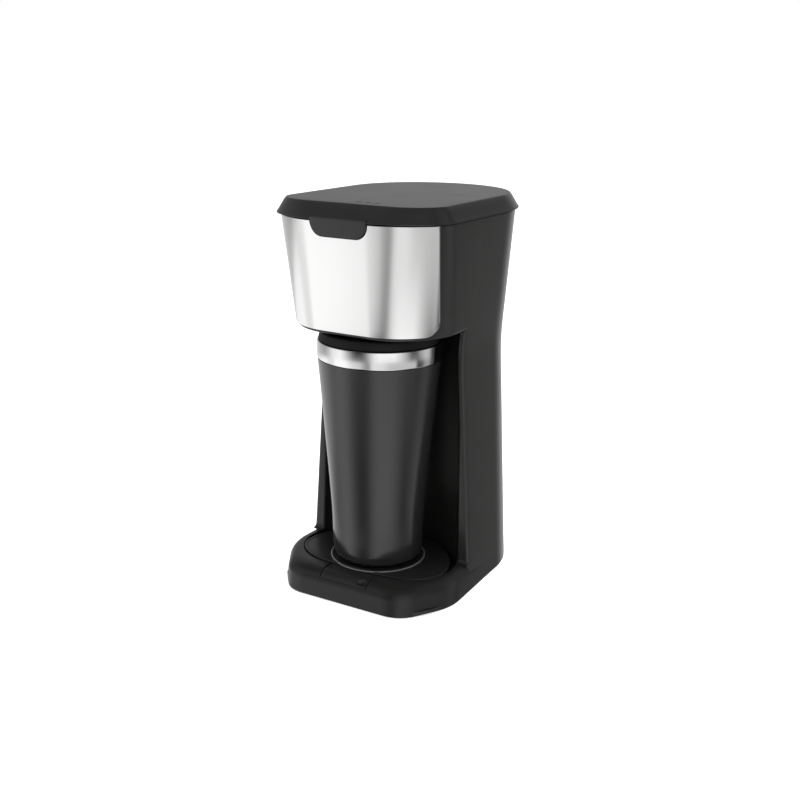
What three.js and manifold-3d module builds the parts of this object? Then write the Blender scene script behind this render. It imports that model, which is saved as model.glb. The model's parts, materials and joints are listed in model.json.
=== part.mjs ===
// Single-serve drip coffee maker with its travel mug. Millimetres, +Z up, front facing -Y.
// Every piece is placed about the mug's axis, and the whole group is then moved so that the
// origin is the centre of the footprint on the table.
import * as THREE from "three";
import { mergeVertices } from "three/addons/utils/BufferGeometryUtils.js";
import Module from "manifold-3d";

const wasm = await Module();
wasm.setup();

// ---- driving dimensions -------------------------------------------------------------------
const MUG_AXIS_Y = -38.85; // from the footprint's centre to the mug's axis
const GAP = 0.3; // air between neighbouring pieces
const WALL = 2.2; // moulded walls
const BASE = { bottom: 1.5, rim: 21, front: -49, side: 67.3, corner: [28, 36], bend: 1.85 };
const WELL = { floor: 12, front: -34, side: 60, corner: [34, 36], edge: 15 };
const BAY = { low: 53, high: 50, centre: 8, back: 46, roof: 189 };
const HEAD = { floor: 189, top: 264, lowFront: -43, topFront: -50.5 };
const REAR_CENTRE = 61; // centre of the half-round back
const HALF_WIDTHS = [[0, 65.6], [165, 56.8], [176, 56.9], [264, 63.2]]; // height, half width
const LID = { flange: 264.5, top: 275 };
const LID_PLAN = { flangeSide: 65.4, flangeFront: -53, topSide: 58.4, topFront: -40.5 };
const NOTCH = { half: 21.4, floor: 254, corner: 8.9 };
const PANEL = { low: 191.5, high: 263.6, half: 59.6, corner: 9 };
const HINGE = { y: 127.7, z: 260, barrel: 3, bore: 1.7, pin: 1.4, inner: 15.5, outer: 22 };
const MUG_FOOT = 21.5;
const MUG_SHELL = [ // height, radius
  [22.4, 27.5], [24, 30.3], [28, 31.9], [35, 32.5], [51, 32.9], [77, 34.7], [107, 37.3], [138, 40], [167.7, 42.7],
];
const BAND = { radius: 43, low: 168, high: 180 };
const TRAY = { front: -31, side: 56.4, top: 21.2, floor: 12.3, corner: [34, 25], centre: -6, depth: 49 };
const SWITCH = { x: -60, y: 56, z: 50, tilt: 6 };
const HEATER = { radius: 24, centre: 82, end: 98, z: 15 };

// ---- materials ----------------------------------------------------------------------------
const finish = (color, roughness, metalness = 0) => new THREE.MeshStandardMaterial({ color, roughness, metalness });
const BLACK = finish(0x232323, 0.45);
const LID_BLACK = finish(0x2c2c2c, 0.4);
const MUG_BLACK = finish(0x262626, 0.35);
const STEEL = finish(0xc9cbcc, 0.28, 1);
const CLEAR = finish(0xd9dde0, 0.3);
const ALUMINIUM = finish(0xa9abad, 0.5, 1);
const RUBBER = finish(0x1a1a1a, 0.85);
const SILICONE = finish(0xe6e3da, 0.6);
const MESH_GOLD = finish(0xb89a58, 0.4, 1);
const RED = finish(0xb3201a, 0.3);
const CERAMIC = finish(0xe9e6df, 0.6);

// ---- solids -------------------------------------------------------------------------------
// A closed geometry as a solid for joining and cutting.
function solid(geometry) {
  const bare = geometry.clone();
  bare.deleteAttribute("normal");
  bare.deleteAttribute("uv");
  const merged = mergeVertices(bare, 1e-4);
  const index = merged.index.array;
  const kept = [];
  for (let i = 0; i < index.length; i += 3) {
    const [a, b, c] = [index[i], index[i + 1], index[i + 2]];
    if (a !== b && b !== c && c !== a) kept.push(a, b, c);
  }
  const vertProperties = new Float32Array(merged.attributes.position.array);
  return new wasm.Manifold(new wasm.Mesh({ numProp: 3, vertProperties, triVerts: new Uint32Array(kept) }));
}

const join = (...parts) => parts.reduce((whole, part) => whole.add(part));
const cut = (body, ...tools) => tools.reduce((rest, tool) => rest.subtract(tool), body);

const machine = new THREE.Group();
machine.position.y = MUG_AXIS_Y;

function piece(name, shape, material) {
  const { vertProperties, triVerts } = shape.getMesh();
  const geometry = new THREE.BufferGeometry();
  geometry.setAttribute("position", new THREE.BufferAttribute(vertProperties, 3));
  geometry.setIndex(new THREE.BufferAttribute(triVerts, 1));
  geometry.computeVertexNormals();
  const mesh = new THREE.Mesh(geometry, material);
  mesh.name = name;
  machine.add(mesh);
}

// Box between two corners.
function box([x0, y0, z0], [x1, y1, z1]) {
  const geometry = new THREE.BoxGeometry(x1 - x0, y1 - y0, z1 - z0);
  return solid(geometry.translate((x0 + x1) / 2, (y0 + y1) / 2, (z0 + z1) / 2));
}

// Upright cylinder or cone.
function post(x, y, low, high, radius, sides = 12, topRadius = radius) {
  const geometry = new THREE.CylinderGeometry(topRadius, radius, high - low, sides);
  return solid(geometry.rotateX(Math.PI / 2).translate(x, y, (low + high) / 2));
}

// Cylinder along X.
function axle(x0, x1, y, z, radius, sides = 14) {
  const geometry = new THREE.CylinderGeometry(radius, radius, x1 - x0, sides);
  return solid(geometry.rotateZ(Math.PI / 2).translate((x0 + x1) / 2, y, z));
}

// Solid of revolution about an upright axis; the profile is [radius, height] pairs, outside going up.
function turned(profile, x = 0, y = 0, sides = 24) {
  const points = profile.map(([radius, height]) => new THREE.Vector2(radius, height));
  return solid(new THREE.LatheGeometry(points, sides).rotateX(Math.PI / 2).translate(x, y, 0));
}

// A closed ring section of revolution.
const ringed = (profile, ...rest) => turned([...profile, profile[0]], ...rest);

// Hose along a curve through the given points.
const HOSE_SIDES = 8;
function tube(points, radius, bore, steps) {
  const path = new THREE.CatmullRomCurve3(points.map((p) => new THREE.Vector3(...p)));
  const round = (size) => Array.from({ length: HOSE_SIDES }, (_, k) => {
    const turn = (2 * Math.PI * k) / HOSE_SIDES;
    return new THREE.Vector2(size * Math.cos(turn), size * Math.sin(turn));
  });
  const shape = new THREE.Shape(round(radius));
  shape.holes.push(new THREE.Path(round(bore)));
  return solid(new THREE.ExtrudeGeometry(shape, { steps, extrudePath: path }));
}

// Solid through a stack of outlines that have equally many points.
function loft(layers) {
  const count = layers[0].outline.length;
  const positions = layers.flatMap(({ z, outline }) => outline.flatMap(([x, y]) => [x, y, z]));
  const index = [];
  for (let k = 0; k + 1 < layers.length; k += 1) {
    for (let i = 0; i < count; i += 1) {
      const [a, b] = [k * count + i, k * count + ((i + 1) % count)];
      index.push(a, b, b + count, a, b + count, a + count);
    }
  }
  for (const [k, flip] of [[0, true], [layers.length - 1, false]]) {
    const flat = layers[k].outline.map(([x, y]) => new THREE.Vector2(x, y));
    for (const face of THREE.ShapeUtils.triangulateShape(flat, [])) {
      const corners = face.map((i) => k * count + i);
      index.push(...(flip ? corners.reverse() : corners));
    }
  }
  const geometry = new THREE.BufferGeometry();
  geometry.setAttribute("position", new THREE.Float32BufferAttribute(positions, 3));
  geometry.setIndex(index);
  return solid(geometry);
}

// ---- outlines -----------------------------------------------------------------------------
const CORNER_STEPS = 5;
const REAR_STEPS = 7;

// Plan outline, symmetric about X = 0: rounded front corners, straight sides that may close in
// towards the back, and a half-ellipse at the rear.
function plan({ front, corner, side, rear = side, centre = REAR_CENTRE, depth = rear, bend = 2 }) {
  const right = [];
  for (let i = 0; i <= CORNER_STEPS; i += 1) {
    const turn = ((i / CORNER_STEPS) * Math.PI) / 2;
    const x = side - corner[0] * (1 - Math.sin(turn) ** (2 / bend));
    right.push([x, front + corner[1] * (1 - Math.cos(turn) ** (2 / bend))]);
  }
  for (let i = 0; i < REAR_STEPS; i += 1) {
    const turn = ((i / REAR_STEPS) * Math.PI) / 2;
    right.push([rear * Math.cos(turn), centre + depth * Math.sin(turn)]);
  }
  const left = right.map(([x, y]) => [-x, y]).reverse();
  return [...right, [0, centre + depth], ...left];
}

// Value at a height in a list of [height, value] pairs, straight between them.
function between(pairs, height) {
  const above = pairs.findIndex(([z]) => z > height);
  const k = above < 0 ? pairs.length - 1 : Math.max(1, above);
  const [[z0, v0], [z1, v1]] = [pairs[k - 1], pairs[k]];
  return v0 + ((v1 - v0) * Math.min(1, Math.max(0, (height - z0) / (z1 - z0))));
}

const halfWidth = (z) => between(HALF_WIDTHS, z);

function baseOutline(z, inset = 0) {
  const { front, side, corner, bend } = BASE;
  const narrower = z * 0.03 + inset;
  return plan({ front: front + narrower, side: side - narrower, rear: halfWidth(z) - inset, corner, bend });
}

// The column is only as deep as from the walls' front edges to the back.
function columnOutline(z, inset = 0) {
  const flare = 1.4 * Math.max(0, 1 - z / 165);
  const rear = halfWidth(z) - inset;
  return plan({ front: WELL.edge + inset, side: rear + flare, rear, corner: [2, 2] });
}

function headOutline(z, inset = 0, rearInset = inset) {
  const rise = (z - HEAD.floor) / (HEAD.top - HEAD.floor);
  const mix = (low, high) => low + (high - low) * rise;
  const rear = halfWidth(z) - inset;
  const front = mix(HEAD.lowFront, HEAD.topFront) + inset;
  const corner = [mix(40, 45), mix(44, 38)].map((reach) => Math.max(2, reach - inset));
  return plan({ front, corner, side: rear, rear, depth: halfWidth(z) - rearInset });
}

const stack = (outline, heights, inset) => loft(heights.map((z) => ({ z, outline: outline(z, inset) })));

// Mug bay: parallel sides that lean in slightly upwards and a round back.
function bayOutline(half, grow) {
  const front = -90;
  const depth = BAY.back - BAY.centre + grow;
  return plan({ front, corner: [1, 1], side: half + grow, centre: BAY.centre, depth });
}

function bay(low, high, grow) {
  const at = (z) => BAY.low + ((BAY.high - BAY.low) * (z - BASE.rim)) / (BAY.roof - BASE.rim);
  return loft([low, high].map((z) => ({ z, outline: bayOutline(at(z), grow) })));
}

// ---- main housing -------------------------------------------------------------------------
const COLUMN_HEIGHTS = [BASE.bottom, 165, 176, HEAD.floor + 4];
const outer = join(
  stack(baseOutline, [BASE.bottom, BASE.rim], 0),
  stack(columnOutline, COLUMN_HEIGHTS, 0),
  stack(headOutline, [HEAD.floor, HEAD.top], 0),
);

// Tray well: a wide rounded hollow in front of the column's edges and the bay's outline behind.
function well(low, high, grow) {
  const { front, side, corner } = WELL;
  const outline = plan({ front: front - grow, side: side + grow, corner });
  const wide = loft([low, high].map((z) => ({ z, outline })));
  const ahead = box([-90, -90, low], [90, WELL.edge - GAP + grow, high]);
  const behind = loft([low, high].map((z) => ({ z, outline: bayOutline(BAY.low, grow) })));
  return join(wide.intersect(ahead), behind.intersect(wide));
}

const inside = join(
  cut(stack(baseOutline, [0, BASE.rim - WALL], WALL), well(WELL.floor - WALL, BASE.rim, WALL)),
  cut(
    stack(columnOutline, [0, ...COLUMN_HEIGHTS.slice(1)], WALL),
    bay(BASE.rim - WALL, BAY.roof + WALL, WALL),
    well(WELL.floor - WALL, BASE.rim, WALL),
  ),
  stack(headOutline, [HEAD.floor + WALL, HEAD.top + 1], WALL),
);

const COVER_SCREWS = [[-50, -24], [50, -24], [-42, 102.4], [42, 102.4]];
const FEET = [[-44, -34], [44, -34], [-38, 94], [38, 94]];
const TAB = { half: 19, back: -32, floor: 15.5 };
const SHELF = { low: 108, high: 110.5, front: 98 };
const OUTLET = { hole: 13, collar: 15.5, top: 199.6 };
const SWITCH_PAD = box([-61.8, 43, 35], [-57, 69, 65]);
const SWITCH_POCKET = box([-80, 46.7, 37.7], [-61.7, 65.3, 62.3]);
const SWITCH_HOLE = box([-70, 49, 40], [-50, 63, 60]);
const GLAND = { z: 16, bore: 5.1 };

const rearBore = solid(new THREE.CylinderGeometry(GLAND.bore, GLAND.bore, 30, 20).translate(0, 125, GLAND.z));
const coverPosts = COVER_SCREWS.map(([x, y]) => post(x, y, 4.1, WELL.floor - 1, 4.5, 16));
const coverPostHoles = COVER_SCREWS.map(([x, y]) => post(x, y, 3, 9.2, 1.7, 12));
const hingeLugs = [-1, 1].flatMap((side) => {
  const [x0, x1] = [HINGE.inner + 0.4, HINGE.outer].map((x) => side * x).sort((a, b) => a - b);
  const web = box([x0, 120, HINGE.z - HINGE.barrel], [x1, HINGE.y, HINGE.z + HINGE.barrel - 0.6]);
  return [axle(x0, x1, HINGE.y, HINGE.z, HINGE.barrel), web];
});
const tabOpening = box([-TAB.half, -60, TAB.floor], [TAB.half, TAB.back, 30]);

const housing = cut(
  join(
    cut(outer, inside, bay(BASE.rim, BAY.roof, 0), well(WELL.floor, BASE.rim + 1, 0)),
    outer.intersect(box([-90, SHELF.front, SHELF.low], [90, 140, SHELF.high])),
    SWITCH_PAD,
    post(0, 0, HEAD.floor, OUTLET.top, OUTLET.collar, 20),
    ...coverPosts,
    ...hingeLugs,
  ),
  post(0, 0, HEAD.floor - 2, OUTLET.top + 2, OUTLET.hole, 20),
  axle(-30, 30, HINGE.y, HINGE.z, HINGE.bore, 16),
  tabOpening,
  SWITCH_POCKET,
  SWITCH_HOLE,
  rearBore,
  ...coverPostHoles,
);
piece("main_housing", housing, BLACK);

// ---- base cover, feet and screws ----------------------------------------------------------
const COVER = { low: 1.6, high: 3.8, head: 2.9 };
const coverVents = [-16, 0, 16].map((x) => box([x - 1.5, 62, 0], [x + 1.5, 90, 6]));
const coverPlate = loft([COVER.low, COVER.high].map((z) => ({ z, outline: baseOutline(0, WALL + 0.5) })));
piece(
  "base_cover",
  cut(
    coverPlate,
    ...COVER_SCREWS.map(([x, y]) => post(x, y, 0, 6, 1.9, 12)),
    ...COVER_SCREWS.map(([x, y]) => post(x, y, 0, COVER.head + 0.1, 3.7)),
    ...FEET.map(([x, y]) => post(x, y, 0, 6, 2.4, 12)),
    ...coverVents,
  ),
  BLACK,
);
FEET.forEach(([x, y], i) => {
  const foot = turned([[0, 0], [6.4, 0], [7, 0.5], [7, 1.3], [2, 1.3], [2, 5], [0, 5]], x, y, 12);
  piece(`foot_${i + 1}`, foot, RUBBER);
});
COVER_SCREWS.forEach(([x, y], i) => {
  const seat = COVER.head - GAP;
  const profile = [[0, 1.7], [2.6, 1.7], [3.2, 2.1], [3.2, seat], [1.4, seat], [1.4, 8.6], [0, 8.6]];
  piece(`cover_screw_${i + 1}`, turned(profile, x, y, 8), STEEL);
});

// ---- front panel --------------------------------------------------------------------------
// Y of the head's front wall, or of a surface standing off it, at a given X and height.
function frontY(x, z, offset) {
  const rise = (z - HEAD.floor) / (HEAD.top - HEAD.floor);
  const [reachX, reachY] = [40 + 5 * rise, 44 - 6 * rise];
  const across = Math.max(0, Math.abs(x) - (halfWidth(z) - reachX)) / (reachX + offset);
  const front = HEAD.lowFront + (HEAD.topFront - HEAD.lowFront) * rise;
  return front + reachY - (reachY + offset) * Math.sqrt(Math.max(0, 1 - across * across));
}

// A sheet on the head's front: columns run across it, each with its own low and high edge, and
// the sheet lies between two offsets from the wall. It narrows downwards as the head does.
const SKIN_ROWS = 3;
const NARROWING = 0.075;
function skin(columns, [inner, outer]) {
  const place = (x, z, offset) => {
    const drawn = x * (1 - (NARROWING * (HEAD.top - z)) / (HEAD.top - HEAD.floor));
    return [drawn, frontY(drawn, z, offset), z];
  };
  const turn = 2 * (SKIN_ROWS + 1);
  const positions = columns.flatMap(({ x, low, high }) => {
    const heights = Array.from({ length: SKIN_ROWS + 1 }, (_, k) => low + ((high - low) * k) / SKIN_ROWS);
    const front = heights.map((z) => place(x, z, outer));
    return [...front, ...heights.reverse().map((z) => place(x, z, inner))].flat();
  });
  const index = [];
  for (let k = 0; k + 1 < columns.length; k += 1) {
    for (let i = 0; i < turn; i += 1) {
      const [a, b] = [k * turn + i, k * turn + ((i + 1) % turn)];
      index.push(a, b + turn, b, a, a + turn, b + turn);
    }
  }
  const end = (columns.length - 1) * turn;
  for (let i = 0; i < SKIN_ROWS; i += 1) {
    const [a, b, c, d] = [i, i + 1, turn - 2 - i, turn - 1 - i];
    index.push(a, b, c, a, c, d, end + a, end + c, end + b, end + a, end + d, end + c);
  }
  const geometry = new THREE.BufferGeometry();
  geometry.setAttribute("position", new THREE.Float32BufferAttribute(positions, 3));
  geometry.setIndex(index);
  return solid(geometry);
}

const mirrored = (xs) => [...xs.map((x) => -x), 0, ...[...xs].reverse()];
const panelEdges = [0, 0.5, 1.8, 4, 7.2].map((step) => PANEL.half - step);
const notchEdges = [NOTCH.half + 0.4, NOTCH.half, 21, 19.6, 17.4, 15, NOTCH.half - NOTCH.corner];

// Height of a rounded bottom corner: zero away from the edge, the corner's radius at the edge.
const rounding = (distance, radius) => radius - Math.sqrt(radius ** 2 - Math.max(0, radius - distance) ** 2);

const notchFloor = (x) => {
  const past = Math.max(0, Math.abs(x) - (NOTCH.half - NOTCH.corner));
  return NOTCH.floor + NOTCH.corner - Math.sqrt(Math.max(0, NOTCH.corner ** 2 - past ** 2));
};
const panelColumns = mirrored([...panelEdges, 44, 36, 28, ...notchEdges, 6]).map((x) => ({
  x,
  low: PANEL.low + rounding((PANEL.half - Math.abs(x)) * 1.6, PANEL.corner),
  high: Math.abs(x) > NOTCH.half ? PANEL.high : notchFloor(x),
}));
piece("front_panel", skin(panelColumns, [0.5, 1.1]), STEEL);

// ---- lid ----------------------------------------------------------------------------------
function lidOutline(rise, inset = 0) {
  const mix = (low, high) => low + (high - low) * rise;
  const side = mix(LID_PLAN.flangeSide, LID_PLAN.topSide) - inset;
  const front = mix(LID_PLAN.flangeFront, LID_PLAN.topFront) + inset;
  return plan({ front, side, corner: [mix(44, 25) - inset, mix(36, 22) - inset] });
}

const LID_STEPS = [ // height, share of the way from the flange's outline to the top's
  [LID.flange, 0], [LID.flange + 1.3, 0.02], [LID.flange + 1.8, 0.2], [269.5, 0.38], [273.4, 0.74], [LID.top, 1],
];
const lidOuter = loft(LID_STEPS.map(([z, rise]) => ({ z, outline: lidOutline(rise) })));
const lidInner = loft([[LID.flange - 1, 0.25], [268.5, 0.5], [272.8, 1]].map(([z, rise]) => ({
  z,
  outline: lidOutline(rise, WALL),
})));
const VENTS = [[2.8, 5.4], [9.6, 4.6], [16.4, 4.6]]; // centre X and length
const vents = VENTS.map(([x, long]) => box([x - long / 2, -32.4, 270], [x + long / 2, -30.8, 280]));
const LID_SCREWS = [[-44, 66], [44, 66], [-44, -22], [44, -22]];
const tongueXs = [21, 20.4, 19, 16.8, 14.6, 12.2, 6];
const tongueColumns = mirrored(tongueXs).map((x) => ({
  x,
  low: notchFloor(x) + 0.5,
  high: LID.flange + 2,
}));
const lidKnuckle = join(
  axle(-HINGE.inner, HINGE.inner, HINGE.y, HINGE.z, HINGE.barrel),
  box([-HINGE.inner, 124.9, HINGE.z], [HINGE.inner, HINGE.y + HINGE.barrel - 0.4, LID.flange + 1.2]),
);
const lid = cut(
  join(
    cut(lidOuter, lidInner),
    skin(tongueColumns, [0.6, 2.3]),
    lidKnuckle,
    ...LID_SCREWS.map(([x, y]) => post(x, y, 265, 273.4, 3.6, 14)),
  ),
  axle(-30, 30, HINGE.y, HINGE.z, HINGE.bore, 16),
  ...vents,
  ...LID_SCREWS.map(([x, y]) => post(x, y, 260, 270, 1.6, 12)),
);
piece("lid_cover", lid, LID_BLACK);

const LINER = { low: 261.2, high: 263.2 };
const linerOutline = plan({ front: -46.6, side: 59.4, corner: [54, 44], depth: 56.4 });
const showerHoles = [[0, 0], ...[0, 1, 2, 3, 4, 5].map((k) => {
  const turn = (k * Math.PI) / 3;
  return [10 * Math.cos(turn), 10 * Math.sin(turn)];
})].map(([x, y]) => post(x, y, 255, 266, 1.5, 10));
piece(
  "lid_liner",
  cut(
    loft([LINER.low, LINER.high].map((z) => ({ z, outline: linerOutline }))),
    ...showerHoles,
    ...LID_SCREWS.map(([x, y]) => post(x, y, 255, 266, 1.7, 12)),
  ),
  BLACK,
);
const gasketSection = [[41, 260], [43.2, 260], [43.2, LINER.low - GAP], [41, LINER.low - GAP]];
piece("lid_gasket", ringed(gasketSection), SILICONE);
LID_SCREWS.forEach(([x, y], i) => {
  const profile = [[0, 259.4], [2.2, 259.4], [2.8, 259.9], [2.8, 260.9], [1.2, 260.9], [1.2, 269], [0, 269]];
  piece(`lid_screw_${i + 1}`, turned(profile, x, y, 8), STEEL);
});
piece("hinge_pin", axle(-HINGE.outer - 0.4, HINGE.outer + 0.4, HINGE.y, HINGE.z, HINGE.pin, 16), STEEL);

// ---- filter holder and permanent filter -----------------------------------------------------
const holder = ringed([
  [3, 189.5], [8, 189.5], [8.4, 198], [12, 200.4], [34, 210], [40, 222], [43.6, 255], [46.2, 255.5],
  [46.2, 258], [44.4, 258], [44.2, 256.8], [41.8, 255.4], [38.2, 222.6], [32.8, 211.6], [11, 202], [3, 200],
]);
piece("filter_holder", holder, BLACK);

const FRAME = { rim: 257.2, top: 259.5, low: 207.6, lowRadius: 16, highRadius: 40.6 };
const ribs = [0, 1, 2, 3, 4, 5].map((k) => {
  const run = FRAME.highRadius - FRAME.lowRadius;
  const height = FRAME.rim + 0.8 - FRAME.low;
  const length = Math.hypot(run, height);
  const rib = new THREE.BoxGeometry(1.6, 2.4, length);
  rib.rotateY(Math.atan2(run, height));
  rib.translate((FRAME.lowRadius + FRAME.highRadius) / 2, 0, FRAME.low + height / 2);
  return solid(rib.rotateZ((k * Math.PI) / 3));
});
piece(
  "filter_frame",
  join(
    ringed([[38, FRAME.rim], [43.8, FRAME.rim], [43.8, FRAME.top], [38, FRAME.top]]),
    post(0, 0, FRAME.low - 1.2, FRAME.low + 1, 17.2, 28),
    box([-6, -40, FRAME.rim], [6, -31, FRAME.top]),
    ...ribs,
  ),
  BLACK,
);
const meshProfile = [[0, 209.4], [14, 209.4], [38.4, 256.6], [37.8, 256.6], [13.4, 210], [0, 210]];
piece("filter_mesh", turned(meshProfile), MESH_GOLD);

// ---- water reservoir ------------------------------------------------------------------------
const TANK = { low: 112, high: 250, front: 60, wall: 1.8, inset: WALL + 1.3, stub: [-20, 90] };
const [stubX, stubY] = TANK.stub;
function tankSpace(inset, low, high) {
  const whole = stack(columnOutline, [90, 165, 176, 264], TANK.inset + inset);
  return whole.intersect(box([-90, TANK.front + inset, low], [90, 140, high]));
}
piece(
  "water_reservoir",
  cut(
    join(tankSpace(0, TANK.low, TANK.high), post(stubX, stubY, 103, 114, 6.8)),
    tankSpace(TANK.wall, TANK.low + TANK.wall, TANK.high + 1),
    post(stubX, stubY, 100, 120, 4.6),
  ),
  CLEAR,
);

// ---- water path -----------------------------------------------------------------------------
const valve = [[2, 92], [4, 92], [4, 100], [6.6, 100.3], [6.6, 102.7], [4.3, 102.7], [4.3, 110], [2, 110]];
piece("check_valve", ringed(valve, stubX, stubY, 12), CERAMIC);

const { radius: bendRadius, centre: bendY, end: heaterEnd, z: heaterZ } = HEATER;
const BEND_STEPS = 12;

// Middle line of a level U that opens to the rear.
function heaterPath(radius, legEnd) {
  const bend = Array.from({ length: BEND_STEPS + 1 }, (_, i) => {
    const turn = -(i / BEND_STEPS) * Math.PI;
    return [radius * Math.cos(turn), bendY + radius * Math.sin(turn)];
  });
  return [[radius, legEnd], ...bend, [-radius, legEnd]];
}

// Bar of rectangular section along a level U.
function uBar(radius, end, z, half, height) {
  const line = heaterPath(radius, end);
  const away = line.map(([x, y], i) => {
    const [a, b] = [line[Math.max(0, i - 1)], line[Math.min(line.length - 1, i + 1)]];
    const direction = new THREE.Vector2(b[0] - a[0], b[1] - a[1]).normalize();
    return [x + direction.y * half, y - direction.x * half];
  });
  const towards = line.map(([x, y], i) => [2 * x - away[i][0], 2 * y - away[i][1]]);
  const outline = [...away, ...towards.reverse()];
  const clockwise = THREE.ShapeUtils.isClockWise(outline.map(([x, y]) => new THREE.Vector2(x, y)));
  const ordered = clockwise ? outline.reverse() : outline;
  return loft([z - height / 2, z + height / 2].map((level) => ({ z: level, outline: ordered })));
}
const nipples = [-1, 1].map((side) => post(side * bendRadius, heaterEnd - 6, heaterZ, 34, 4, 8));
const nippleBores = [-1, 1].map((side) => post(side * bendRadius, heaterEnd - 6, heaterZ - 3, 40, 2.4, 8));
piece(
  "heater_body",
  cut(join(uBar(bendRadius, heaterEnd, heaterZ, 6, 13), ...nipples), ...nippleBores),
  ALUMINIUM,
);
piece("heating_element", uBar(bendRadius - 10, heaterEnd + 6, heaterZ, 3.2, 6.4), STEEL);
piece("thermostat", post(0, bendY - bendRadius, 21.9, 29, 8, 20), CERAMIC);
[-1, 1].forEach((side, i) => {
  const body = new THREE.CylinderGeometry(2.4, 2.4, 12, 12).translate(side * bendRadius, 78, 24.3);
  piece(`thermal_fuse_${i + 1}`, solid(body), CERAMIC);
});
piece("terminal_block", box([-15, 108, 8], [15, 117, 19]), CERAMIC);

const HOSE = { radius: 6.4, bore: 4.8 };
const riser = { x: 26, y: 52, low: 82, high: 251 };
const inletPath = [[-24, 92, 28], [-24, 92, 36], [-24, 92, 44], [-22, 91, 66], [-20, 90, 86], [-20, 90, 99.6]];
const outletPath = [
  [24, 92, 28], [24, 92, 36], [24, 91, 45], [25.5, 74, 58], [26, 56, 68], [26, 52, 80], [26, 52, 90],
];
piece("inlet_hose", tube(inletPath, HOSE.radius, HOSE.bore, 9), SILICONE);
piece("outlet_hose", tube(outletPath, HOSE.radius, HOSE.bore, 12), SILICONE);
const riserSection = [[2.6, riser.low], [4, riser.low], [4, riser.high], [2.6, riser.high]];
piece("riser_tube", ringed(riserSection, riser.x, riser.y, 10), CERAMIC);
const spoutProfile = [[0, 256.8], [4.3, 256.8], [4.3, 246], [5.8, 246], [5.8, 258.6], [0, 258.6]];
const spoutMouth = new THREE.BoxGeometry(5, 8, 4).rotateZ(-Math.atan2(riser.x, riser.y));
piece(
  "outlet_spout",
  cut(
    turned(spoutProfile, riser.x, riser.y, 12),
    solid(spoutMouth.translate(riser.x - 2, riser.y - 5, 254)),
  ),
  BLACK,
);
const CLAMPS = [[-24, 92, 32], [-20, 90, 96], [24, 92, 32], [26, 52, 86]];
CLAMPS.forEach(([x, y, z], i) => {
  const band = ringed([[7.1, z - 2.5], [7.9, z - 2.5], [7.9, z + 2.5], [7.1, z + 2.5]], x, y, 14);
  const ear = box([x + 7.4, y - 1, z - 2.5], [x + 9.8, y + 1, z + 2.5]);
  piece(`hose_clamp_${i + 1}`, join(band, ear), STEEL);
});

// ---- power switch and cord inlet --------------------------------------------------------------
piece(
  "switch_bezel",
  cut(
    join(box([-64, 47, 38], [-62, 65, 62]), box([-63, 49.4, 40.4], [-51, 62.6, 59.6])),
    box([-70, 50.6, 41.6], [-52.4, 61.4, 58.4]),
  ),
  BLACK,
);
// Rocker section in [outwards, up] about its pivot; at rest its top half is pressed in.
const rockerSection = [[-2.4, -6.6], [4.2, -7.4], [3.2, 0], [4.2, 7.4], [-2.4, 6.6]];
function rocker(section, half) {
  const shape = new THREE.Shape(section.map(([out, up]) => new THREE.Vector2(-out, up)));
  const geometry = new THREE.ExtrudeGeometry(shape, { depth: 2 * half, bevelEnabled: false });
  geometry.translate(0, 0, -half).rotateX(Math.PI / 2);
  geometry.rotateY(THREE.MathUtils.degToRad(SWITCH.tilt));
  return solid(geometry.translate(SWITCH.x, SWITCH.y, SWITCH.z));
}
const lensPocket = [[2.8, 2.2], [6, 2.2], [6, 5.8], [2.8, 5.8]];
const lens = [[3.1, 2.5], [4, 2.5], [4.4, 5.5], [3.1, 5.5]];
piece("switch_rocker", cut(rocker(rockerSection, 5), rocker(lensPocket, 3.3)), BLACK);
piece("switch_lens", rocker(lens, 3), RED);

const glandPoints = [ // radius, distance along the bore
  [3.2, -6], [7, -6], [7, -4.2], [4.7, -4.2], [4.7, 0.6], [7, 0.6], [6.4, 2.2], [3.2, 2.2], [3.2, -6],
].map(([radius, along]) => new THREE.Vector2(radius, along));
const gland = new THREE.LatheGeometry(glandPoints, 14).translate(0, 126.1, GLAND.z);
piece("cord_gland", solid(gland), RUBBER);

// ---- drip tray --------------------------------------------------------------------------------
const trayOutline = (inset) => {
  const corner = TRAY.corner.map((reach) => reach - inset);
  const { front, side, centre, depth } = TRAY;
  return plan({ front: front + inset, side: side - inset, centre, depth: depth - inset, corner });
};
const pan = loft([TRAY.floor, TRAY.top - 2.4].map((z) => ({ z, outline: trayOutline(0) })));
const hollow = loft([TRAY.floor + 1.6, TRAY.top].map((z) => ({ z, outline: trayOutline(1.6) })));
// Finger tab: a wedge that fills the gap in the rim, with a half-round scoop near one end.
const tabShape = new THREE.Shape([ // Y, height
  [-29.6, TAB.floor + 0.4], [-29.6, 18.6], [-31.5, 18.6], [-31.5, 20.2], [-43.6, 20.2],
  [-47.9, TAB.floor + 2.2], [-48.1, TAB.floor + 0.4],
].map(([y, z]) => new THREE.Vector2(y, z)));
const tabWedge = new THREE.ExtrudeGeometry(tabShape, { depth: 36.8, bevelEnabled: false });
tabWedge.applyMatrix4(new THREE.Matrix4().set(0, 0, 1, -18.4, 1, 0, 0, 0, 0, 1, 0, 0, 0, 0, 0, 1));
const scoop = post(14, -46.4, TAB.floor + 1.6, 24, 3.2, 16, 4);
piece("drip_tray", join(cut(pan, hollow), cut(solid(tabWedge), scoop)), BLACK);

const slots = [0, 1, 2, 3, 4, 5, 6, 7].map((k) => {
  const slot = new THREE.BoxGeometry(3, 16, 8).translate(0, 18, TRAY.top);
  return solid(slot.rotateZ(((k + 0.5) * Math.PI) / 4));
});
piece(
  "tray_plate",
  cut(loft([TRAY.top - 2.1, TRAY.top].map((z) => ({ z, outline: trayOutline(0) }))), ...slots),
  BLACK,
);

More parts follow.
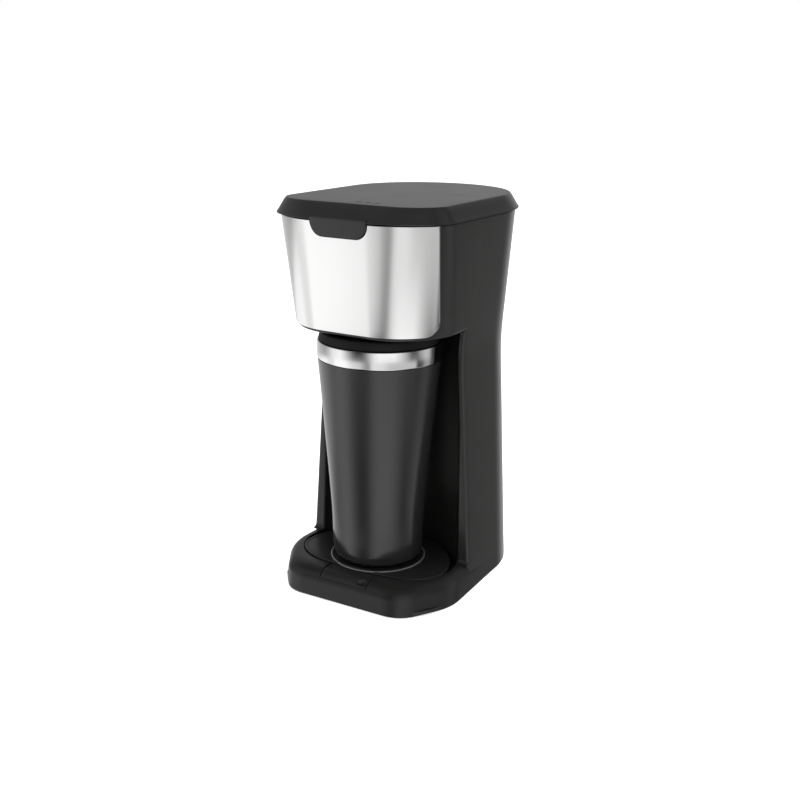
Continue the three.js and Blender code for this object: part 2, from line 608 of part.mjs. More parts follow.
// ---- travel mug -------------------------------------------------------------------------------
const shellOuter = MUG_SHELL.map(([z, radius]) => [radius, z]);
const shellInner = [167.7, 107, 51, 28].map((z) => [between(MUG_SHELL, z) - WALL, z]);
const shellProfile = [[0, MUG_SHELL[0][0]], ...shellOuter, ...shellInner, [27, 25.4], [0, 25.4]];
piece("mug_shell", turned(shellProfile), MUG_BLACK);

const linerRadius = (z) => between(MUG_SHELL, z) - WALL - GAP;
const LINER_HEIGHTS = [32, 51, 107, 160];
const linerOuter = LINER_HEIGHTS.map((z) => [linerRadius(z), z]);
const linerInner = [...linerOuter].reverse().map(([radius, z]) => [radius - 0.9, z]);
piece(
  "mug_liner",
  turned([
    [0, 28], [27, 28], ...linerOuter, [BAND.radius - 3.6, BAND.low - 2], [BAND.radius - 3.6, BAND.low],
    [BAND.radius, BAND.low], [BAND.radius, BAND.high - 0.5], [BAND.radius - 0.5, BAND.high],
    [BAND.radius - 2, BAND.high], [BAND.radius - 4.4, BAND.low - 3], ...linerInner, [26.6, 29], [0, 29],
  ]),
  STEEL,
);
const padSection = [[12, MUG_FOOT], [25.6, MUG_FOOT], [26.2, MUG_FOOT + 0.6], [12, MUG_FOOT + 0.6]];
piece("mug_foot_pad", ringed(padSection), RUBBER);

const DECK = 184.2;
const lidProfile = [
  [5, DECK - 2], [37, DECK - 2], [37, 173], [39, 173], [39, BAND.high + 0.4], [42.3, BAND.high + 0.4],
  [41.6, 183.4], [40.6, 186], [40, 186.5], [38.6, 186.5], [38, DECK], [5, DECK],
];
const sipHole = new THREE.CylinderGeometry(3, 3, 20, 14).rotateX(Math.PI / 2).scale(1.8, 1, 1);
piece("mug_lid", cut(ringed(lidProfile), solid(sipHole.translate(0, -30, DECK))), MUG_BLACK);
const sealSection = [[39.3, 175], [40, 175.4], [40, 177], [39.3, 177.4]];
piece("mug_lid_seal", ringed(sealSection), SILICONE);
piece(
  "sip_cover",
  join(box([-8, -35, DECK + GAP], [8, -25, DECK + 1.8]), box([-4, -31.5, DECK + 1.4], [4, -29.5, DECK + 2.8])),
  MUG_BLACK,
);

export default machine;
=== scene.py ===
"""A single-serve drip coffee maker and its travel mug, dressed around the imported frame."""
import json
import math

import bmesh
import bpy
import numpy as np
from mathutils import Matrix, Vector


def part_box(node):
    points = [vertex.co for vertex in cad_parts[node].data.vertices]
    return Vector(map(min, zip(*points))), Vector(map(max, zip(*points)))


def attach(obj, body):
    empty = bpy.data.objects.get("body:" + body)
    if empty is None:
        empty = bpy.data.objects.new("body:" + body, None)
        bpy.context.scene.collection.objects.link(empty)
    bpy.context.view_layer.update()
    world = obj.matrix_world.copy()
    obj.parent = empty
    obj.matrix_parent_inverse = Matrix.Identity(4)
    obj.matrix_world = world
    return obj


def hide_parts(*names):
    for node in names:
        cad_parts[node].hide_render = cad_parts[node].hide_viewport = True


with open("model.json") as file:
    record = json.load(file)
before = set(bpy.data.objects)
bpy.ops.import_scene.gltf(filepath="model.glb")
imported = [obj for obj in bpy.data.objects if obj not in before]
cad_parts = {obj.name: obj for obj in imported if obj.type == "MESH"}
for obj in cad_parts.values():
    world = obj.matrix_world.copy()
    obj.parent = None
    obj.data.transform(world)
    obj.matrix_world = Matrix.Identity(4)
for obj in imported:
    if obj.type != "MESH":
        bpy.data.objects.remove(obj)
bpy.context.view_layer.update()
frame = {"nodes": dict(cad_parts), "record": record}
bpy.context.scene.view_settings.view_transform = "Standard"

# ---- camera ---------------------------------------------------------------------------------
# A portrait lens in front of the machine, well to its right and a little above it. It leans
# by less than a degree.
CAMERA_TARGET = Vector((0.01233, -0.03173, 0.13590))
CAMERA_DISTANCE = 0.77088
CAMERA_AZIMUTH, CAMERA_ELEVATION, CAMERA_ROLL = (math.radians(a) for a in (30.0, 16.468, 0.803))

towards_camera = Vector((
    math.sin(CAMERA_AZIMUTH) * math.cos(CAMERA_ELEVATION),
    -math.cos(CAMERA_AZIMUTH) * math.cos(CAMERA_ELEVATION),
    math.sin(CAMERA_ELEVATION),
))
level_right = Vector((0, 0, 1)).cross(towards_camera).normalized()
level_up = towards_camera.cross(level_right)
right = level_right * math.cos(CAMERA_ROLL) + level_up * math.sin(CAMERA_ROLL)
up = level_up * math.cos(CAMERA_ROLL) - level_right * math.sin(CAMERA_ROLL)
lens = bpy.data.cameras.new("camera")
LENS, SENSOR = 50.0, 36.0
lens.lens, lens.sensor_width = LENS, SENSOR
camera = bpy.data.objects.new("camera", lens)
turn = Matrix((right, up, towards_camera)).transposed().to_4x4()
camera.matrix_world = Matrix.Translation(CAMERA_TARGET + CAMERA_DISTANCE * towards_camera) @ turn
bpy.context.scene.collection.objects.link(camera)
bpy.context.scene.camera = camera


# ---- studio ---------------------------------------------------------------------------------
# White room. What the gloss sees is a ring of tall soft panels with darker gaps between them,
# and a bright ceiling that falls away behind the machine. All of it is light, not paint.
class Value:
    """One shader socket. Arithmetic on it adds Math nodes, and node() adds any other node."""

    def __init__(self, tree, socket=None):
        self.tree, self.socket = tree, socket

    def node(self, kind, settings=None, inputs=None, output=0):
        made = self.tree.nodes.new("ShaderNode" + kind)
        for key, setting in (settings or {}).items():
            if key == "stops":
                ramp = made.color_ramp
                for place, shade in setting:
                    stop = ramp.elements.new(place)
                    stop.color = (shade, shade, shade, 1) if isinstance(shade, float) else (*shade, 1)
                ramp.elements.remove(ramp.elements[0])
                ramp.elements.remove(ramp.elements[-1])
            else:
                setattr(made, key, setting)
        for key, given in (inputs or {}).items():
            if isinstance(given, Value):
                self.tree.links.new(given.socket, made.inputs[key])
            else:
                made.inputs[key].default_value = given
        return Value(self.tree, made.outputs[output] if made.outputs else None)

    def math(self, operation, first, second=0.0):
        return self.node("Math", {"operation": operation}, {0: first, 1: second})

    def __add__(self, other):
        return self.math("ADD", self, other)

    def __radd__(self, other):
        return self.math("ADD", other, self)

    def __sub__(self, other):
        return self.math("SUBTRACT", self, other)

    def __rsub__(self, other):
        return self.math("SUBTRACT", other, self)

    def __mul__(self, other):
        return self.math("MULTIPLY", self, other)

    def __rmul__(self, other):
        return self.math("MULTIPLY", other, self)

    def __truediv__(self, other):
        return self.math("DIVIDE", self, other)

    def __rtruediv__(self, other):
        return self.math("DIVIDE", other, self)


# Brightness round the machine, by degrees from straight ahead, positive to its right: first the
# broad softboxes, and then the row of panels that stands between them at head height.
SOFTBOXES = [
    (-176, 0.95), (-160, 0.8), (-120, 0.6), (-108, 0.48), (-96, 0.42), (-88, 0.35), (-77, 0.5), (-65, 0.85),
    (-45, 1.0), (-35, 0.66), (-27, 0.36), (-18, 0.08), (-10, 0.0), (-2, 0.04), (5, 0.2), (13, 0.55), (21, 0.86),
    (30, 1.05), (58, 1.05), (74, 0.6), (91, 0.08), (100, 0.1), (110, 0.36), (122, 0.56),
    (131, 0.5), (141, 0.08), (150, 0.05), (160, 0.12), (172, 0.5), (178, 0.9),
]
PANELS = [
    (-176, 0.95), (-140, 0.9), (-110, 1.0), (-86, 1.05), (-74, 0.84), (-64, 0.84), (-56, 1.1), (-36, 1.1),
    (-22, 0.84), (-6, 0.66), (2, 0.42), (8, 0.31), (12, 0.36), (16, 0.66), (21, 0.8), (27, 0.8), (38, 0.74),
    (48, 0.6), (56, 0.56), (98, 0.57), (105, 0.06), (114, 0.1), (122, 0.3), (131, 0.34), (140, 0.1),
    (150, 0.06), (160, 0.1), (174, 0.8),
]
HEAD_HEIGHT = ((-0.44, -0.395), (-0.262, -0.242))
UPPER_SHARE, OVERHEAD = 0.64, 0.08
ROOM = 1.0

world = bpy.data.worlds.new("studio")
world.use_nodes = True
world.node_tree.nodes.clear()
bpy.context.scene.world = world
sky = Value(world.node_tree)
direction = sky.node("TexCoord", output="Generated")
across, ahead, above = (sky.node("SeparateXYZ", inputs={0: direction}, output=k) for k in (0, 1, 2))
around = sky.math("ARCTAN2", across, 0 - ahead) / (2 * math.pi) + 0.5


def ring_of(levels):
    """Brightness by azimuth, straight between the stated degrees."""
    return sky.node("ValToRGB", {"stops": [(a / 360 + 0.5, float(level)) for a, level in levels]}, {0: around})


def risen(low, high):
    """0 below one height on the sky, 1 above another, eased between."""
    return sky.node("MapRange", {"interpolation_type": "SMOOTHSTEP"}, {0: above, 1: low, 2: high})


def blend(share, first, second):
    """A mix of two colours."""
    return sky.node("Mix", {"data_type": "RGBA"}, {0: share, 6: first, 7: second}, output=2)


def grey(level):
    return (level, level, level, 1)


head_height = risen(*HEAD_HEIGHT[0]) * (1 - risen(*HEAD_HEIGHT[1]))
softboxes = ring_of(SOFTBOXES)
below = blend(head_height, softboxes, ring_of(PANELS))
upper = blend(1 - UPPER_SHARE, softboxes, grey(0))
seen_in_gloss = blend(risen(0.55, 0.9), blend(risen(-0.05, 0.1), below, upper), grey(OVERHEAD))
is_gloss = sky.node("LightPath", output="Is Glossy Ray")
studio_light = blend(is_gloss, grey(ROOM), seen_in_gloss)
backdrop = sky.node("Background", inputs={0: studio_light, 1: 1.0})
sky.node("OutputWorld", inputs={0: backdrop})


def soft_light(name, place, aim, size, watts):
    """A square softbox at place, turned to face aim."""
    lamp = bpy.data.lights.new(name, "AREA")
    lamp.energy, lamp.size = watts, size
    box = bpy.data.objects.new(name, lamp)
    away = Vector(place) - Vector(aim)
    box.matrix_world = Matrix.Translation(place) @ away.to_track_quat("Z", "Y").to_matrix().to_4x4()
    box.visible_glossy = box.visible_camera = False
    bpy.context.scene.collection.objects.link(box)


soft_light("overhead_light", (0.1, -0.2, 1.5), (0, 0, 0.1), 1.2, 8)
soft_light("front_light", (0.2, -1.3, 0.5), (0, 0, 0.12), 0.9, 1.5)
soft_light("rear_light", (0.19, 0.2, 0.16), (0.06, 0.06, 0.13), 0.26, 1.0)


# ---- base moulding --------------------------------------------------------------------------
# The foot of the housing: a hollow tray-like moulding in satin black, with a broad rounded rim,
# a well for the drip tray, and a gap in the rim for the tray's finger tab.
def new_material(name):
    """An empty node material and a Value to build it with."""
    material = bpy.data.materials.new(name)
    material.use_nodes = True
    material.node_tree.nodes.clear()
    return material, Value(material.node_tree)


def surface(
    name, color, roughness, metallic=0.0, grain=0.0, grain_size=0.5, uneven=0.0, tint=0.0, index=1.5,
    stretch=(1, 1, 1),
):
    """Principled surface with a fine grain, and a slight unevenness in how it shines. grain is the bump's
    depth in mm over grain_size mm; uneven and tint are how far roughness and colour wander over a few
    centimetres; index is refractive. stretch lengthens the grain along an axis."""
    material, at = new_material(name)
    here = at.node("TexCoord", output="Object")
    broad = at.node("TexNoise", inputs={"Vector": here, "Scale": 45.0, "Detail": 3.0})
    mapped = at.node("Mapping", inputs={"Vector": here, "Scale": stretch})
    fine = at.node("TexNoise", inputs={"Vector": mapped, "Scale": 1000.0 / grain_size, "Detail": 2.0})
    shade = at.node(
        "Mix", {"data_type": "RGBA"},
        {0: broad, 6: (*(c * (1 - tint) for c in color), 1), 7: (*(c * (1 + tint) for c in color), 1)}, output=2,
    )
    dull = broad * (2 * uneven) + fine * (uneven * 0.8) + (roughness - 1.4 * uneven)
    bump = at.node("Bump", inputs={"Strength": 0.5, "Distance": grain / 1000, "Height": fine})
    given = {"Base Color": shade, "Roughness": dull, "Metallic": metallic, "IOR": index, "Normal": bump}
    body = at.node("BsdfPrincipled", inputs=given)
    at.node("OutputMaterial", inputs={0: body})
    return material


# Every new piece is a grid of points worked out in millimetres about the mug's axis, with
# its front towards -Y, and set down in the frame in metres.
mug_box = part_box("mug_shell")
AXIS_Y = (mug_box[0].y + mug_box[1].y) / 2


def piece(name, grid, material, body, around=True, along=False, keep=None, sharp=42.0, closed=True):
    """Mesh on a grid of points, shape (rows, columns, 3) in mm. around joins the last column to the first,
    along the last row to the first; keep is a mask of the faces that exist. Doubles are merged."""
    rows, columns = grid.shape[:2]
    lengthways, crossways = np.arange(rows if along else rows - 1), np.arange(columns if around else columns - 1)
    r, c = np.meshgrid(lengthways, crossways, indexing="ij")
    r1, c1 = (r + 1) % rows, (c + 1) % columns
    quads = np.stack([r * columns + c, r * columns + c1, r1 * columns + c1, r1 * columns + c], axis=-1)
    quads = quads[keep] if keep is not None else quads.reshape(-1, 4)
    mesh = bpy.data.meshes.new(name)
    points = grid.reshape(-1, 3) / 1000 + np.array([0, AXIS_Y, 0])
    mesh.from_pydata(points.tolist(), [], quads.tolist())
    tidy = bmesh.new()
    tidy.from_mesh(mesh)
    bmesh.ops.remove_doubles(tidy, verts=tidy.verts, dist=2e-6)
    bmesh.ops.dissolve_degenerate(tidy, edges=tidy.edges, dist=2e-6)
    loose = [v for v in tidy.verts if not v.link_faces]
    bmesh.ops.delete(tidy, geom=loose, context="VERTS")
    if closed:
        bmesh.ops.recalc_face_normals(tidy, faces=tidy.faces)
    tidy.to_mesh(mesh)
    tidy.free()
    return dress(bpy.data.objects.new(name, mesh), material, body, sharp)


def dress(obj, material, body, sharp=42.0):
    """Links a piece, smooths it below the sharp angle, gives it its material and says what it rides on."""
    bpy.context.scene.collection.objects.link(obj)
    obj.data.materials.append(material)
    obj.data.shade_smooth()
    obj.data.set_sharp_from_angle(angle=math.radians(sharp))
    normals = obj.modifiers.new("face_weighted", "WEIGHTED_NORMAL")
    normals.keep_sharp = True
    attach(obj, body)
    return obj


def half_width(z):
    """Half width of the walls at a height: straight stretches between measured heights, eased over 18 mm."""
    heights, widths = [-20, 165, 176, 290], [66.67, 56.8, 56.9, 65.06]
    spread = np.linspace(-9, 9, 7)
    return np.interp(np.asarray(z, float)[..., None] + spread, heights, widths).mean(axis=-1)


def resampled(points, count):
    """Points spaced evenly by length along a polyline, the first left out."""
    lengths = np.concatenate([[0], np.cumsum(np.hypot(*np.diff(points, axis=0).T))])
    at = np.linspace(0, lengths[-1], count + 1)[1:]
    return np.stack([np.interp(at, lengths, points[:, k]) for k in (0, 1)], axis=1)


REAR_CENTRE = 61.0
CHAMFER = (46.0, -14.0)
BACK_YS = [8, 14, 16, 17, 20, 24, 30, 38, 46, 49.5, 50.5, 56]


def chamfer(front, side, fillets):
    """A corner cut off straight from CHAMFER[0] on the front to CHAMFER[1] on the side, each end rounded by a
    curve P(u) = A(1-u)^2 + 2Vu(1-u) + Bu^2 about its vertex V, A and B a fillet's length away."""
    x, y = CHAMFER
    ends = [np.array(point, float) for point in ((x - 20, front), (x, front), (side, y), (side, y + 20))]
    u = np.linspace(0, 1, 60)[:, None]
    path = []
    for k, fillet in zip((1, 2), fillets):
        before, vertex, after = ends[k - 1:k + 2]
        a = vertex + (before - vertex) * fillet / np.hypot(*(before - vertex))
        b = vertex + (after - vertex) * fillet / np.hypot(*(after - vertex))
        path.append(a * (1 - u) ** 2 + 2 * vertex * u * (1 - u) + b * u ** 2)
    return np.vstack(path)


def plan(front, side, reach, rear, centre=REAR_CENTRE, depth=None, front_xs=(0,), steps=26, tuck=0.0, fillets=None):
    """Closed outline: a straight front, elliptic corners, straight sides and a half-ellipse behind. Corner
    points are (side - a(1 - sin t), front + b(1 - cos t)), or a chamfer's when fillets are given. tuck
    draws the part behind the column's front edges inwards, so that it hides under the column's skin."""
    t = np.linspace(0, math.pi / 2, 240)
    corner = chamfer(front, side, fillets) if fillets else np.stack([
        side - reach[0] * (1 - np.sin(t)), front + reach[1] * (1 - np.cos(t)),
    ], axis=1)
    xs = np.array(front_xs, float)
    start = np.stack([xs, np.full_like(xs, front)], axis=1)
    corner = resampled(np.vstack([start[-1:], corner[corner[:, 0] > xs[-1]]]), steps)
    begin = corner[-1]
    ys = np.array(BACK_YS, float)
    if centre != REAR_CENTRE or begin[1] > ys[0] - 1:
        ys = np.linspace(begin[1], centre, len(BACK_YS) + 2)[1:-1]
    flank = np.stack([begin[0] + (rear - begin[0]) * (ys - begin[1]) / (centre - begin[1]), ys], axis=1)
    a = np.linspace(0, math.pi / 2, 25)
    behind = np.stack([rear * np.cos(a), centre + (rear if depth is None else depth) * np.sin(a)], axis=1)
    behind[-1, 0] = 0
    half = np.vstack([start, corner, flank, behind])
    if tuck:
        share = tuck * np.clip((half[:, 1] - 16) / 30, 0, 1) ** 2
        from_centre = half - np.stack([np.zeros(len(half)), np.minimum(half[:, 1], centre)], axis=1)
        half = half - share[:, None] * from_centre / np.maximum(np.hypot(*from_centre.T), 1)[:, None]
    return np.vstack([half, half[-2:0:-1] * [-1, 1]])


def level(outline, z):
    """An outline laid at a height."""
    return np.column_stack([outline, np.full(len(outline), z) if np.isscalar(z) else z])


def shrunk(outline, share, middle):
    """An outline drawn in towards a point, to close a floor or a top."""
    return (outline - middle) * share + middle


base_plastic = surface(
    "base_black_plastic", (0.0095, 0.0095, 0.0092), 0.3, grain=0.008, uneven=0.02, tint=0.1, index=1.42,
)
BASE_FRONT, BASE_SIDE, BASE_FILLETS, DRAFT = -49.0, 67.3, (13, 12), 0.03
RIM, SHOULDER, RIM_SHARE, CROWN = 21.0, 11.0, 0.9, 0.8
WELL_FLOOR, WELL_FRONT, WELL_SIDE, WELL_REACH = 12.0, -33.0, 58.3, (34.0, 34.0)
TAB_FLOOR, TAB_BACK = 15.85, -33.0
HIDDEN = 0.3
BASE_XS = (0, 5, 10, 14, 17, 18.5, 18.95, 19.02, 19.2, 19.5, 20.1, 21, 23, 25)
MIDDLE = np.array([0.0, 12.0])


def base_ring(z, inset):
    """Outer outline of the base: it draws in by the draft times its height, and by the inset."""
    less = DRAFT * z + inset
    return plan(
        BASE_FRONT + less, BASE_SIDE - less, None, float(half_width(z)) - inset, front_xs=BASE_XS, steps=34,
        tuck=HIDDEN, fillets=BASE_FILLETS,
    )


def well_ring(inset):
    return plan(
        WELL_FRONT + inset, WELL_SIDE - inset, WELL_REACH, WELL_SIDE - 2 - inset, centre=20, depth=42 - inset,
        front_xs=BASE_XS, steps=34,
    )


rings = [level(shrunk(base_ring(2, 3.4), s, MIDDLE), 9.6) for s in (0, 0.5, 1)]
rings += [level(base_ring(z, i), z) for z, i in [
    (0.9, 3.2), (0.35, 2.9), (0.3, 2.4), (0.3, 1.3), (0.38, 0.7), (0.62, 0.25), (1.1, 0.05), (2.0, 0), (8, 0),
]]


def rim_ring(turn):
    """The rim's crown: a superelliptic sweep from the outer wall's shoulder in towards the well's edge."""
    z = SHOULDER + (RIM - SHOULDER) * math.sin(turn) ** CROWN
    share = RIM_SHARE * (1 - max(0.0, math.cos(turn)) ** CROWN)
    return level(base_ring(z, 0) * (1 - share) + well_ring(0) * share, z)


rings += [rim_ring(turn) for turn in np.radians([0, 6, 13, 21, 30, 39, 48, 57, 66, 75, 83, 90])]
arc = np.radians(np.linspace(0, 90, 4))
rings += [level(well_ring(-0.5 * (1 - s)), RIM - 0.5 * (1 - c)) for s, c in zip(np.sin(arc), np.cos(arc))]
rings += [level(well_ring(i), z) for z, i in [(19, 0), (16, 0), (13.2, 0), (12.3, 0.3), (WELL_FLOOR, 1.2)]]
rings += [level(shrunk(well_ring(1.2), s, MIDDLE), WELL_FLOOR) for s in (0.6, 0)]
base = np.array(rings)
in_gap = base[..., 1] < TAB_BACK
ceiling = np.interp(np.abs(base[..., 0]), [18.97, 19.0, 19.2, 19.5, 20.1], [TAB_FLOOR, 20.2, 20.6, 20.85, 22])
above_floor = in_gap & (base[..., 2] > WELL_FLOOR)
base[..., 2] = np.where(above_floor, np.minimum(base[..., 2], ceiling), base[..., 2])
base_moulding = piece("base_moulding", base, base_plastic, "housing")

# ---- column ---------------------------------------------------------------------------------
# The back half of the housing: one skin that wraps the sides and the rear from the foot to the
# head and turns in round the mug's bay. Its edges are rounded and it is narrowest at the waist.
housing_plastic = surface("satin_black_plastic", (0.0125, 0.0122, 0.0118), 0.29, grain=0.008, uneven=0.025, tint=0.1)
COLUMN_EDGE, EDGE_ROUND, BAY_ROUND = 15.0, 2.6, 1.4
BAY_CENTRE, BAY_DEPTH, ROOF, ROOF_ROUND = 8.0, 38.0, 189.0, 3.0
HEAD_TOP = 264.0


def column_ring(z, inset):
    """Closed C: outer skin from the right front edge round the rear to the left, then back round the bay."""
    rear = float(half_width(z)) - inset
    front = rear + float(np.interp(z, [0, 21, 165], [1.0, 1.25, 0])) - 0.05
    near_roof, near_foot = z - (ROOF - ROOF_ROUND), RIM + ROOF_ROUND - z
    lead = ROOF_ROUND - math.sqrt(max(0.0, ROOF_ROUND ** 2 - min(ROOF_ROUND, max(0.0, near_roof, near_foot)) ** 2))
    face = COLUMN_EDGE - lead * (RIM - 1 < z < ROOF + 1)
    q = np.linspace(0, math.pi / 2, 6)
    outer_edge = np.stack([front - EDGE_ROUND * (1 - np.sin(q)), face + EDGE_ROUND * (1 - np.cos(q))], axis=1)
    ys = np.array(BACK_YS[4:], float)
    side = np.stack([front + (rear - front) * (ys - 17) / (REAR_CENTRE - 17), ys], axis=1)
    a = np.linspace(0, math.pi / 2, 30)
    behind = np.stack([rear * np.cos(a), REAR_CENTRE + rear * np.sin(a)], axis=1)
    behind[-1, 0] = 0
    bay_half = float(np.interp(z, [21, 189], [53, 50]))
    start = math.asin((COLUMN_EDGE + BAY_ROUND - BAY_CENTRE) / BAY_DEPTH)
    b = np.linspace(math.pi / 2, start, 26)
    bay = np.stack([bay_half * np.cos(b), BAY_CENTRE + BAY_DEPTH * np.sin(b)], axis=1)
    bay[0, 0] = 0
    room = min(4.5, front - EDGE_ROUND - 2.5 - bay[-1, 0])
    flare = np.clip((34 - bay[:, 1]) / 16, 0, 1)
    bay[:, 0] += room * flare * flare * (3 - 2 * flare)
    wall = bay[-1]
    corner = np.array([wall[0] + 0.3, face])
    u = np.linspace(0, 1, 6)[1:, None]
    inner_edge = wall * (1 - u) ** 2 + 2 * corner * u * (1 - u) + np.array([wall[0] + 1.7, face]) * u ** 2
    half = np.vstack([inner_edge[-1:], outer_edge, side, behind])
    outside = np.vstack([half, half[-2::-1] * [-1, 1]])
    inside = np.vstack([bay, inner_edge[:-1]])
    return np.vstack([outside, (inside[::-1] * [-1, 1])[:-1], inside]), len(outside)


COLUMN_ROWS = [(0.9, 2.6), (0.4, 2.0), (0.3, 1.4), (0.38, 0.8), (0.62, 0.3), (1.1, 0.05), (2.0, 0)]
COLUMN_ROWS += [(z, 0) for z in (8, 14, 20, 21, 21.3, 21.8, 22.6, 23.5, 24.2)]
COLUMN_ROWS += [(z, 0) for z in (40, 60, 80, 100, 120, 140, 152, 158, 163)]
COLUMN_ROWS += [(z, 0) for z in (167, 171, 175, 179, 183, 185.6, 186.6, 187.4, 188.1, 188.7, 189, 190)]
COLUMN_ROWS += [(z, 0) for z in (194, 200, 215, 230, 245, 258, 262.6)] + [(263.4, 0.1), (263.8, 0.5), (263.85, 1.2)]
made = [column_ring(z, inset) for z, inset in COLUMN_ROWS]
column = np.array([level(ring, z) for (ring, _), (z, _) in zip(made, COLUMN_ROWS)])
outside_count = made[0][1]
tall = np.array([z for z, _ in COLUMN_ROWS[:-1]])[:, None] >= 190
keep = ~(tall & (np.arange(column.shape[1])[None, :] >= outside_count - 1))
piece("column_skin", column, housing_plastic, "housing", keep=keep, closed=False)

# ---- head moulding --------------------------------------------------------------------------
# The top of the housing, open upwards for the filter and the water tank. Its front face is an
# inward-leaning bow that carries the steel panel, and its floor has the outlet over the mug.
HEAD_FLOOR, PIT = 189.0, 104.0
HEAD_FRONT, HEAD_LEAN = -43.0, 7.5
HEAD_REACH = ((40, 45), (44, 38))  # the corners' reach along X and along Y, each at the floor and at the top


def head_ring(z, inset, low_z=None):
    """Outline at a height, front and corners leaning out upwards. A ring given a low_z drops to it behind."""
    rise = (z - HEAD_FLOOR) / (HEAD_TOP - HEAD_FLOOR)
    reach = [max(2.0, low + (high - low) * rise - inset) for low, high in HEAD_REACH]
    rear = float(half_width(z)) - inset
    ring = plan(HEAD_FRONT - HEAD_LEAN * rise + inset, rear, reach, rear, steps=34, tuck=HIDDEN)
    heights = np.full(len(ring), float(z))
    if low_z is not None:
        behind = ring[:, 1] > 50
        heights = np.where(behind, low_z, heights)
        ring = np.where(behind[:, None], shrunk(ring, 0.93, np.array([0.0, REAR_CENTRE - 4])), ring)
    return np.column_stack([ring, heights])


def forward(ring):
    """The same ring with its rear flattened against the back wall of the bay."""
    flat = ring.copy()
    flat[:, 1] = np.minimum(flat[:, 1], 49)
    return flat


def outlet_ring(radius, z):
    """A circle about the mug's axis with one point for each point of the outline."""
    ring = head_ring(HEAD_FLOOR, 6)[:, :2]
    angle = np.arctan2(ring[:, 1], ring[:, 0])
    return np.column_stack([radius * np.cos(angle), radius * np.sin(angle), np.full(len(ring), z)])


rings = [head_ring(z, i) for z, i in [(263.5, 2.1), (262, 2.2), (235, 2.2), (210, 2.2)]]
rings += [head_ring(194.2, 2.2, PIT), head_ring(192, 2.6, PIT - 1)]
rings += [forward(head_ring(191.2, 4.2, PIT - 1)), forward(head_ring(191.2, 9))]
rings += [outlet_ring(r, z) for r, z in [
    (17, 191.2), (15.7, 191.5), (15.5, 192.2), (15.5, 199.2), (15.2, 199.6), (13.3, 199.6), (13, 199.2), (13, 189.9),
    (13.9, 189.0),
]]
rings += [forward(head_ring(189, 14)), forward(head_ring(189, 2.2, PIT - 2)), head_ring(189, 2.0, PIT - 2)]
rings += [head_ring(189.12, 1.35, PIT - 2), head_ring(189.5, 0.65, PIT)]
rings += [head_ring(190.1, 0.18, PIT + 2), head_ring(190.9, 0, PIT + 4)]
rings += [head_ring(z, i) for z, i in [
    (194, 0), (204, 0), (216, 0), (228, 0), (240, 0), (252, 0), (262.8, 0), (263.4, 0.12), (263.85, 0.45),
    (264, 0.95), (264, 1.5), (263.85, 1.9),
]]
piece("head_moulding", np.array(rings), housing_plastic, "housing", along=True)

# Two lugs at the back of the head hold the hinge pin; the lid's barrel turns between them.
hinge_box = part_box("hinge_pin")
HINGE_Y = 1000 * ((hinge_box[0].y + hinge_box[1].y) / 2 - AXIS_Y)
HINGE_Z = 1000 * (hinge_box[0].z + hinge_box[1].z) / 2
BARREL, BARREL_BORE = 3.0, 1.7


def barrel(name, low_x, high_x, web, material, body):
    """Hinge barrel along X with rounded ends and a web: the ring's section is a circle whose one side is
    drawn out to the web's two corners, and its bore is a second circle inside."""
    a = np.radians(np.linspace(0, 360, 40, endpoint=False))
    circle = np.stack([np.cos(a), np.sin(a)], axis=1)
    outer = circle * BARREL
    if web is not None:
        (y_far, z_low, z_high) = web
        drawn = circle[:, 0] < -0.35
        outer[drawn, 0] = y_far
        outer[drawn, 1] = np.interp(circle[drawn, 1], [-0.94, 0.94], [z_low, z_high])

    def section(x, points):
        return np.column_stack([np.full(len(a), x), HINGE_Y + points[:, 0], HINGE_Z + points[:, 1]])

    rounding = [(0, 0.4), (0.12, 0.12), (0.4, 0)]
    steps = [(low_x + along, ease) for along, ease in rounding]
    steps += [(high_x - along, ease) for along, ease in reversed(rounding)]
    shapes = [section(x, outer * (1 - ease / BARREL)) for x, ease in steps]
    shapes += [section(x, circle * BARREL_BORE) for x in (high_x, low_x)]
    return piece(name, np.array(shapes), material, body, along=True)


for side, name in ((-1, "hinge_lug_left"), (1, "hinge_lug_right")):
    low_x, high_x = sorted((side * 15.9, side * 22.0))
    barrel(name, low_x, high_x, (-7.0, -BARREL, BARREL - 0.6), housing_plastic, "housing")
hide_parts("main_housing")

# ---- steel panel ----------------------------------------------------------------------------
# Thin stainless sheet bent round the head's front, brushed along its length, with a notch at
# its top for the lid's grip. Its edges are rounded over.
panel_steel = surface(
    "brushed_steel", (0.9, 0.9, 0.895), 0.14, metallic=1.0, grain=0.0015, grain_size=0.12, uneven=0.02, tint=0.01,
    stretch=(0.02, 0.02, 1),
)
PANEL_LOW, PANEL_HIGH, PANEL_HALF, PANEL_CORNER = 191.5, 263.6, 59.6, 9.0
NOTCH_HALF, NOTCH_FLOOR, NOTCH_CORNER = 21.4, 254.0, 8.9
NARROWING, SWELL, SWELL_HALF = 0.075, 0.9, 45.0


def bow(x, z, offset):
    """Y of the head's front face, or of a surface standing off it: front + b - (b + offset) sqrt(1 - s^2),
    where s is how far across the corner's ellipse x lies, less a swell h(1 - (x / w)^2)^2."""
    rise = (z - HEAD_FLOOR) / (HEAD_TOP - HEAD_FLOOR)
    a, b = (low + (high - low) * rise for low, high in HEAD_REACH)
    s = np.maximum(0, np.abs(x) - (half_width(z) - a)) / (a + offset)
    swell = SWELL * np.maximum(0, 1 - (x / SWELL_HALF) ** 2) ** 2
    return HEAD_FRONT - HEAD_LEAN * rise + b - (b + offset) * np.sqrt(np.maximum(0, 1 - s * s)) - swell


